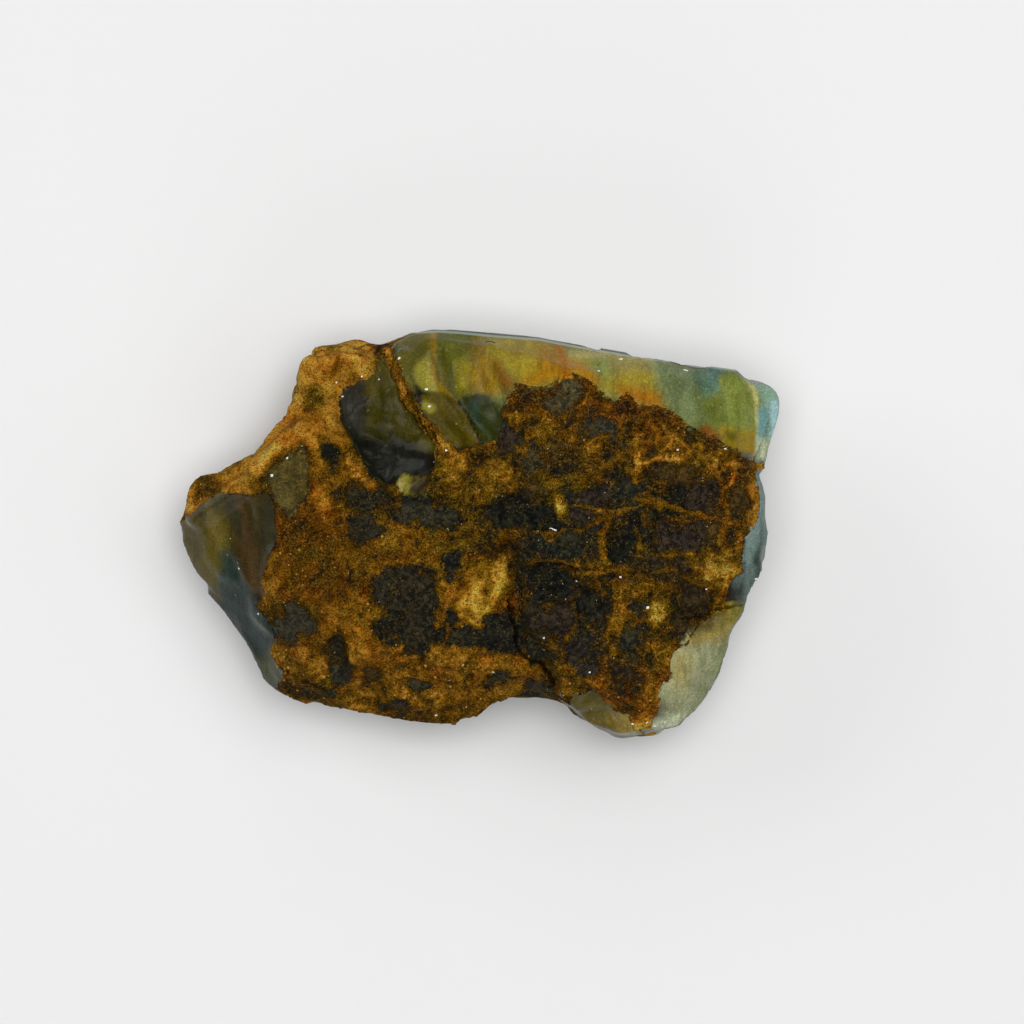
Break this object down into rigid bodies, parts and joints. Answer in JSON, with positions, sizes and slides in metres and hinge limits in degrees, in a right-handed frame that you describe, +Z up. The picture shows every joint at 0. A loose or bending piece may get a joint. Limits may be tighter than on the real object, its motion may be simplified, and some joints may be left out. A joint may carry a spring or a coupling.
{
  "type": "raw fluorite",
  "caption": "Raw fluorite: one broken piece of blue-green crystal with an orange iron oxide crust on its upper face. It lies on a flat cleavage.",
  "frame": {"origin": "middle of the stone's outline seen from above, on the flat cleavage that it rests on", "axes": "+X along the stone from its blunt left end to its square right end, +Y from its notched front to its straight back, +Z up"},
  "size_m": [0.0598, 0.0408, 0.0225],
  "materials": {
    "fluorite": "glassy blue-green crystal, crusted and stained orange-brown"
  },
  "bodies": {
    "root": {"raw_fluorite": "fluorite"}
  },
  "joints": []
}
